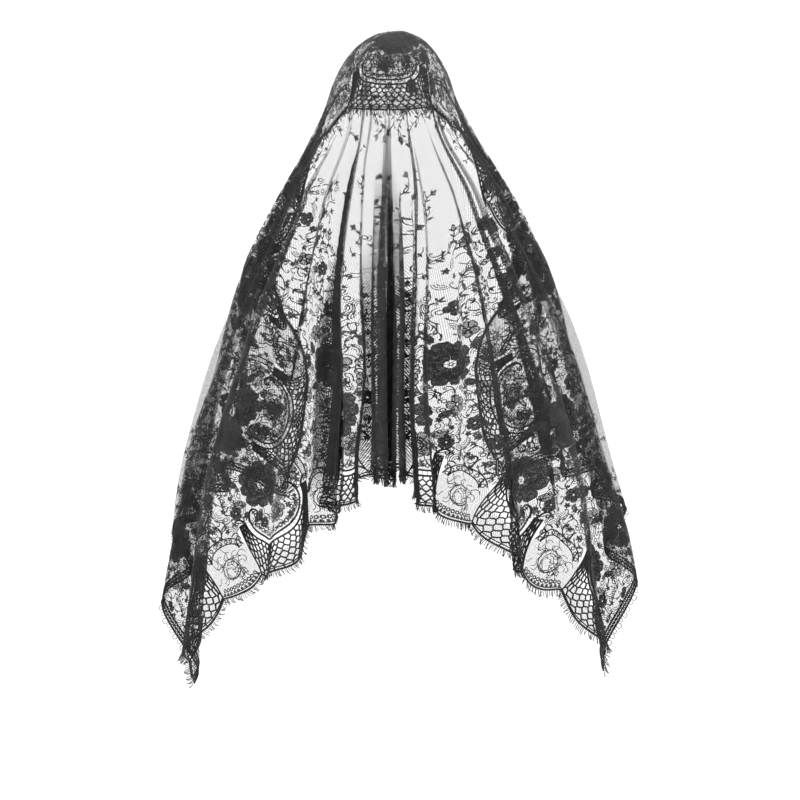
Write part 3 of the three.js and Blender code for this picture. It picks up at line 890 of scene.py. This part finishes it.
def cord_piece(name, cords, material, step=3.0):
    """Many cords as one mesh. A closed line closes; others end in a cap."""
    points, edges, widths, start = [], [], [], 0
    for places, half_width in cords:
        gaps = np.linalg.norm(np.diff(places, axis=0), axis=1)
        along = np.r_[0, np.cumsum(gaps)]
        if along[-1] < 1e-6:
            continue
        count = max(int(math.ceil(along[-1] / step)), 2) + 1
        at = np.linspace(0, along[-1], count)
        even = np.stack([np.interp(at, along, places[:, k]) for k in (0, 1)], -1)
        closed = np.linalg.norm(even[0] - even[-1]) < 0.01
        if closed:
            even = even[:-1]
        points.append(on_lace(even, half_width * CORD_HEIGHT_SHARE))
        widths.append(np.full(len(even), half_width / 1000))
        index = start + np.arange(len(even))
        edges.append(np.stack([index[:-1], index[1:]], 1))
        if closed:
            edges.append(np.array([(index[-1], index[0])]))
        start += len(even)
    points, edges, widths = np.concatenate(points), np.concatenate(edges), np.concatenate(widths)
    piece = line_piece(name, points, edges, "half_width", "FLOAT", widths)
    return run_nodes(piece, cord_nodes, {"Sides": 3, "Thickness": 1.0, "Material": material})


def stitch_group():
    """Crossed threads of a woven stitch, closer in places."""
    group, given = weave_group("Crossed stitch", "Pitch")
    maths = partial(math_node, group)
    patches = noise_node(group, given["Place"], 260.0, 1.0)
    spread = maths("MULTIPLY", maths("SUBTRACT", patches, 0.5), 0.55)
    share = maths("ADD", spread, given["Thread share"], clamp=True)
    far = []
    for way in ((0.8, 0.6, 0.0), (-0.6, 0.8, 0.0)):
        run = vector_node(group, "DOT_PRODUCT", given["Place"], way)
        turns = maths("DIVIDE", run, given["Pitch"])
        far.append(maths("ABSOLUTE", maths("SUBTRACT", maths("FRACT", turns), 0.5)))
    return put_out_threads(group, maths("MINIMUM", *far), share)


crossed_stitch = stitch_group()


def stitched_material(name, colour, pitch, share):
    """Close or half-open stitch, with its threads in relief."""
    material, tree, shader, place = fabric_material(name, colour, 0.8, 0.1)
    stitch = group_node(tree, crossed_stitch, {
        "Place": place["UV"], "Pitch": pitch, "Thread share": share,
    })
    weave(tree, shader, stitch, stitch.outputs["Thread"], 0.0003)
    return material


cloth_stitch = stitched_material("close cloth stitch", (0.036, 0.036, 0.036), 0.0013, 0.8)
half_stitch = stitched_material("half stitch", (0.028, 0.028, 0.029), 0.0013, 0.38)
gimp_yarn, *_ = fabric_material("black gimp yarn", (0.008, 0.008, 0.009), 0.65, 0.04)

for border, cloth in flowered.items():
    for piece, material in (
        (patch_piece(border + "_woven_petals", cloth.solid), cloth_stitch),
        (patch_piece(border + "_half_stitch_petals", cloth.half), half_stitch),
        (thread_piece(border + "_scrolls_and_outlines", cloth.threads), gimp_yarn),
        (cord_piece(border + "_ladders", cloth.cords, gimp_yarn), None),
    ):
        if material:
            piece.data.materials.append(material)
        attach(piece, "root")

# The two scalloped borders. Each fan is a deep scallop of coarse corded net under a double
# cord bent to a U, with a little scallop of plain net on each side, edged by twisted cords.
FAN_ROWS, FAN_COLUMNS, U_POINTS = 6, 42, 60


def along_line(points, count):
    along = np.r_[0, np.cumsum(np.linalg.norm(np.diff(points, axis=0), axis=1))]
    at = np.linspace(0, along[-1], count)
    return np.stack([np.interp(at, along, points[:, k]) for k in (0, 1)], -1)


def u_line(inset, widest=98):
    a = np.radians(np.linspace(-widest, widest, U_POINTS))
    x = (U_HALF_WIDTH - inset) * np.sin(a)
    return np.stack([x, U_MIDDLE - (U_DEPTH - inset) * np.cos(a)], -1)


def draw_border():
    drawing = Drawing()
    half_fan = FAN_WIDTH / 2
    hem_x = np.linspace(-half_fan, half_fan, 60)
    hem = np.stack([hem_x, FAN_BULGE * (hem_x / half_fan) ** 2 + 1.5], -1)
    left_side = np.array([(-66.0, 94.0), (-69.0, 58.0), (-half_fan + 0.5, FAN_BULGE + 1.5)])
    outer = along_line(np.concatenate([left_side, hem[1:-1], left_side[::-1] * (-1, 1)]), FAN_COLUMNS + 1)
    inner = along_line(u_line(0.0), FAN_COLUMNS + 1)
    column = np.arange(FAN_COLUMNS + 1)
    rows = []
    for k in range(FAN_ROWS + 1):
        zigzag = 0.0 if k in (0, FAN_ROWS) else 0.055
        share = k / FAN_ROWS + zigzag * np.where((column + k) % 2 == 0, 1, -1)
        rows.append(inner + (outer - inner) * share[:, None])
    # the coarse six-sided net: zigzag rows joined by short uprights
    for k in range(1, FAN_ROWS):
        drawing.cord(rows[k], 1.4)
    for k in range(FAN_ROWS):
        for i in range(1, FAN_COLUMNS):
            if (i + k) % 2 == 0:
                drawing.cord(np.array([rows[k][i], rows[k + 1][i]]), 1.3)
    # the double U with its fine rungs and curled ends, and a straight cord at each side
    drawing.cord(u_line(0.0), 1.7)
    drawing.cord(u_line(7.5), 1.6)
    near, far = u_line(0.0), u_line(7.5)
    for i in range(1, U_POINTS - 1, 2):
        drawing.thread(np.array([near[i], (near[i] + far[i]) / 2, far[i]]), 0.25)
    drawing.curl(U_HALF_WIDTH - 7, 92, 100, 40, 1, 1.5)
    drawing.curl(-U_HALF_WIDTH + 7, 92, 80, 36, -1, 1.5)
    drawing.curl(U_HALF_WIDTH, 92, 75, 34, -1, 1.4)
    drawing.curl(-U_HALF_WIDTH, 92, 100, 34, 1, 1.4)
    drawing.cord(along_line(left_side, 14), 1.3)
    drawing.cord(along_line(left_side * (-1, 1), 14), 1.3)
    # the chain of small openwork diamonds that follows the U inside
    chain = along_line(u_line(14.0, 84), 22)
    for k, (x, y) in enumerate(chain):
        if k % 2:
            drawing.thread(unit_circle[::2] * 2.6 + (x, y), 0.8)
        else:
            drawing.leaf(x - 3.0, y, 0, 6.0, 5.0, rows=4)
    return drawing


def draw_little_scallop(dice):
    """Plain net with a faint ring, dots inside the hem and an arch of eyelets above."""
    drawing = Drawing()
    half = (FAN_SPACING - FAN_WIDTH) / 2
    for radius, x, y in ((15, 0, 50), (13.5, -2, 51), (12, 1, 48)):
        drawing.thread(unit_circle * radius + (x, y), 0.55)
    a = np.radians(np.linspace(165, 15, 20))
    for size in (0.0, 7.5):
        drawing.cord(np.stack([np.cos(a) * (35 - size), 64 + np.sin(a) * (28 - size)], -1), 1.1)
    for angle in np.radians(np.linspace(158, 22, 9)):
        drawing.thread(unit_circle[::2] * 2.4 + (np.cos(angle) * 31.2, 64 + np.sin(angle) * 24.2), 0.7)
    for row, (count, lift) in enumerate(((11, 7.0), (10, 12.5))):
        for x in np.linspace(-half * (0.86 - 0.1 * row), half * (0.86 - 0.1 * row), count):
            y = FAN_BULGE - LITTLE_BULGE * (1 - (x / half) ** 2) + lift
            if row == 0:
                drawing.leaf(x - 2.5, y, 0, 5.0, 5.4, rows=4)
            else:
                drawing.thread(unit_circle[::2] * 2.3 + (x, y), 0.9)
    for side in (-1, 1):
        drawing.curl(side * 26, 70, 90 + side * 15, 30, -side, 1.1)
        drawing.curl(side * 6, 94, 90 - side * 35, 28, side, 1.0)
        drawing.curl(side * 22, 88, 90 - side * 60, 24, -side, 0.9)
    for _ in range(34):
        x, y = dice.uniform(-25, 25), dice.uniform(32, 68)
        drawing.thread(stroke(x, y, dice.uniform(0, 360), dice.uniform(12, 26), [40, 60, -70, -50]), 0.45)
    return drawing


fan_drawing = draw_border()
little_drawing = draw_little_scallop(np.random.default_rng(9))
bordered = {"back": Drawing(), "front": Drawing()}
for border, cloth in bordered.items():
    for middle in fan_middles:
        lay(fan_drawing, middle, 1 if middle >= 0 else -1, border, cloth)
    for middle in (np.arange(8) - 3.5) * FAN_SPACING:
        lay(little_drawing, middle, 1, border, cloth)
    hem_across = np.linspace(-CLOTH_WIDTH / 2 + 12.5, CLOTH_WIDTH / 2 - 12.5, 900)
    for inset, half_width in ((1.2, 1.7), (4.8, 1.0)):
        depth = scallop(hem_across) + inset
        down = BACK_DROP - depth if border == "back" else depth - FRONT_REACH
        cloth.cords.append((np.stack([hem_across, down], -1), half_width))

for border, cloth in bordered.items():
    fans = cord_piece(border + "_fans", cloth.cords, gimp_yarn)
    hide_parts(border + "_border")
    dots = patch_piece(border + "_dots", cloth.solid)
    dots.data.materials.append(cloth_stitch)
    rungs = thread_piece(border + "_rungs", cloth.threads)
    rungs.data.materials.append(gimp_yarn)
    for piece in (fans, dots, rungs):
        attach(piece, "root")

# The two short ends. A narrow band of three cords with a zigzag of yarn between them, sewn
# along the cut edge, with small picot loops standing out from it.
END_POINTS = 320
END_CORDS = ((748.4, 1.5), (743.2, 1.2), (738.0, 1.4))
ZIGZAGS, ZIGZAG_STEP = ((748.6, 743.2), (743.2, 738.0)), 6.4
end_gap = scallop(np.array(750.0))
end_down = np.linspace(end_gap - FRONT_REACH + 2, BACK_DROP - end_gap - 2, END_POINTS)
for name, side in (("left", -1), ("right", 1)):
    cords = []
    for place, half_width in END_CORDS:
        cords.append((np.stack([np.full(END_POINTS, side * place), end_down], -1), half_width))
    for near, far in ZIGZAGS:
        count = 2 * int((end_down[-1] - end_down[0]) / ZIGZAG_STEP)
        zig = np.where(np.arange(count) % 2 == 0, near, far)
        cords.append((np.stack([side * zig, np.linspace(end_down[0], end_down[-1], count)], -1), 0.9))
    piece = cord_piece(name + "_end_band", cords, gimp_yarn, 2.6)
    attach(piece, "root")
    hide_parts(name + "_edging")

# The eyelash. Warp threads left loose past both scalloped hems, each a fine bent thread.
# The picots on the short ends are small loops of the same yarn.
EYELASH = {"Spacing": 0.0026, "Length": 0.0085, "Thickness": 0.0006, "Loop": False, "Unevenness": 0.35}
PICOTS = {"Spacing": 0.0095, "Length": 0.0065, "Thickness": 0.0005, "Loop": True, "Unevenness": 0.25}
HEM_POINTS, PICOT_POINTS = 1400, 420


def fringe_tree():
    """One small shape at each spacing along a hem, pointing out of it."""
    tree, given = new_tree(
        "Fringe along a hem", "Geometry",
        [("Geometry", "Geometry"), ("Spacing", "Float", 0.0035), ("Length", "Float", 0.0075),
         ("Thickness", "Float", 0.00022), ("Loop", "Bool", False), ("Unevenness", "Float", 0.3),
         ("Seed", "Int", 3), ("Material", "Material")],
        [("Geometry", "Geometry")],
    )
    add = partial(add_node, tree)
    line = add("GeometryNodeMeshToCurve", {"Mesh": given["Geometry"]})
    hem = {"Curve": line, "Length": given["Spacing"]}
    spaced = add("GeometryNodeResampleCurve", hem, mode="LENGTH")
    # the shape: a bent thread, or a loop
    thread = add("GeometryNodeCurvePrimitiveBezierSegment", {
        "Resolution": 4, "Start": (0, 0, 0), "Start Handle": (0, 0, 0.4),
        "End Handle": (0.1, 0.05, 0.7), "End": (0.28, 0.1, 1.0),
    })
    ring = add("GeometryNodeCurvePrimitiveCircle", {"Resolution": 8, "Radius": 0.5})
    stood = add("GeometryNodeTransform", {
        "Geometry": ring, "Translation": (0, 0, 0.5), "Rotation": (math.pi / 2, 0, 0),
    })
    choice = {"Switch": given["Loop"], "False": thread, "True": stood}
    line_shape = add("GeometryNodeSwitch", choice, input_type="GEOMETRY")
    length = add("ShaderNodeCombineXYZ", dict.fromkeys("XYZ", given["Length"]))
    sized = add("GeometryNodeTransform", {"Geometry": line_shape, "Scale": length})
    section = add("GeometryNodeCurvePrimitiveCircle", {"Resolution": 3, "Radius": given["Thickness"]})
    shape = add("GeometryNodeCurveToMesh", {
        "Curve": sized, "Profile Curve": section, "Fill Caps": True,
    })
    # how each copy stands: its length out of the hem, turned a little at random
    outward = add("GeometryNodeInputNamedAttribute", {"Name": "outward"}, data_type="FLOAT_VECTOR")
    spread = {0: (-1, -1, -1), 1: (1, 1, 1), "Seed": given["Seed"]}
    stray = add("FunctionNodeRandomValue", spread, data_type="FLOAT_VECTOR")
    uneven = vector_node(tree, "SCALE", stray, given["Unevenness"])
    aimed = vector_node(tree, "ADD", outward.outputs["Attribute"], uneven)
    stand = add("FunctionNodeAlignRotationToVector", {"Vector": aimed}, axis="Z")
    along = {"Rotation": stand, "Vector": add("GeometryNodeInputTangent", {})}
    lie = add("FunctionNodeAlignRotationToVector", along, axis="X", pivot_axis="Z")
    reach = {2: 0.75, 3: 1.2, "Seed": given["Seed"]}
    grown = add("FunctionNodeRandomValue", reach, data_type="FLOAT").outputs[1]
    copies = add("GeometryNodeInstanceOnPoints", {
        "Points": spaced, "Instance": shape, "Rotation": lie, "Scale": grown,
    })
    return finish_tree(tree, copies, given["Material"])


fringe_nodes = fringe_tree()


def hem_piece(name, across, down, out_across, out_down, values):
    """A fringe along a line of the flat cloth, standing out by the given flat direction."""
    flat = np.stack([across, down], -1)
    places = on_lace(flat)
    outward = places - on_lace(flat - np.stack([out_across, out_down], -1) * 2)
    outward /= np.maximum(np.linalg.norm(outward, axis=1, keepdims=True), 1e-9)
    index = np.arange(len(places) - 1)
    edges = np.stack([index, index + 1], 1)
    piece = line_piece(name, places, edges, "outward", "FLOAT_VECTOR", outward)
    run_nodes(piece, fringe_nodes, {**values, "Material": gimp_yarn})
    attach(piece, "root")
    return piece


hem_line = np.linspace(-CLOTH_WIDTH / 2 + 2, CLOTH_WIDTH / 2 - 2, HEM_POINTS)
for border, way in (("back", 1), ("front", -1)):
    depth = scallop(hem_line)
    slope = np.gradient(depth, hem_line)
    down = BACK_DROP - depth if way > 0 else depth - FRONT_REACH
    size = np.hypot(1, slope)
    piece = hem_piece(border + "_eyelash", hem_line, down, slope / size, way / size, EYELASH)
for name, side in (("left", -1), ("right", 1)):
    across, out = np.full(PICOT_POINTS, side * 748.5), np.full(PICOT_POINTS, float(side))
    down = np.linspace(-140, BACK_DROP - 24, PICOT_POINTS)
    piece = hem_piece(name + "_picots", across, down, out, np.zeros(PICOT_POINTS), PICOTS)

# The studio: a pale floor that sweeps up into a round backdrop, soft lights and the camera
# level behind the veil.
FLOOR_HEIGHT, FLOOR_RADIUS, SWEEP_RADIUS, WALL_TOP = -1.6, 3.6, 2.6, 4.5
STUDIO_SIDES = 64
sweep = [(reach, FLOOR_HEIGHT) for reach in (0.001, 1.5, FLOOR_RADIUS)]
for a in np.radians(np.linspace(10, 90, 9)):
    up = SWEEP_RADIUS * (1 - math.cos(a))
    sweep.append((FLOOR_RADIUS + SWEEP_RADIUS * math.sin(a), FLOOR_HEIGHT + up))
sweep.append((FLOOR_RADIUS + SWEEP_RADIUS, WALL_TOP))
around = np.radians(np.linspace(0, 360, STUDIO_SIDES + 1))
studio_faces = quads_of(len(sweep), STUDIO_SIDES + 1)[:, ::-1]
studio_points = np.array([[(r * math.cos(a), r * math.sin(a), z) for a in around] for r, z in sweep])
studio = make_mesh("studio_floor", studio_points.reshape(-1, 3), studio_faces)
studio_paint = bpy.data.materials.new("pale studio paint")
studio_paint.use_nodes = True
fill(studio_paint.node_tree.nodes["Principled BSDF"], {
    "Base Color": (0.93, 0.93, 0.93, 1), "Roughness": 0.9,
    "Emission Color": (1, 1, 1, 1), "Emission Strength": 0.25,
})
studio_paint.cycles.emission_sampling = "NONE"
studio.data.materials.append(studio_paint)

scene = bpy.context.scene
scene.cycles.transparent_max_bounces = 96
scene.view_settings.view_transform = "Standard"
world = bpy.data.worlds.new("studio air")
world.use_nodes = True
fill(world.node_tree.nodes["Background"], {"Color": (1, 1, 1, 1), "Strength": 0.5})
scene.world = world


def soft_light(name, place, target, size, power):
    data = bpy.data.lights.new(name, "AREA")
    data.shape = "DISK"
    data.size = size
    data.energy = power
    lamp = bpy.data.objects.new(name, data)
    lamp.location = place
    x, y, z = np.array(target) - np.array(place)
    lamp.rotation_euler = (math.atan2(math.hypot(x, y), -z), 0, math.atan2(y, x) - math.pi / 2)
    bpy.context.collection.objects.link(lamp)


soft_light("left softbox", (-2.2, -3.0, 1.6), (0, 0, -0.4), 1.6, 45)
soft_light("right softbox", (2.8, -2.0, 1.0), (0, 0, -0.4), 1.4, 25)
soft_light("top light", (0.3, 0.6, 2.6), (0, 0, -0.4), 1.5, 30)

FILM_WIDTH, CAMERA_AWAY, VIEW_WIDTH = 36.0, 3.0, 1.152
camera_data = bpy.data.cameras.new("camera")
camera_data.sensor_width = FILM_WIDTH
camera_data.lens = FILM_WIDTH * CAMERA_AWAY / VIEW_WIDTH
camera = bpy.data.objects.new("camera", camera_data)
camera.location = (0.01728, -CAMERA_AWAY, -0.53)
camera.rotation_euler = (math.pi / 2, 0, 0)
bpy.context.collection.objects.link(camera)
scene.camera = camera
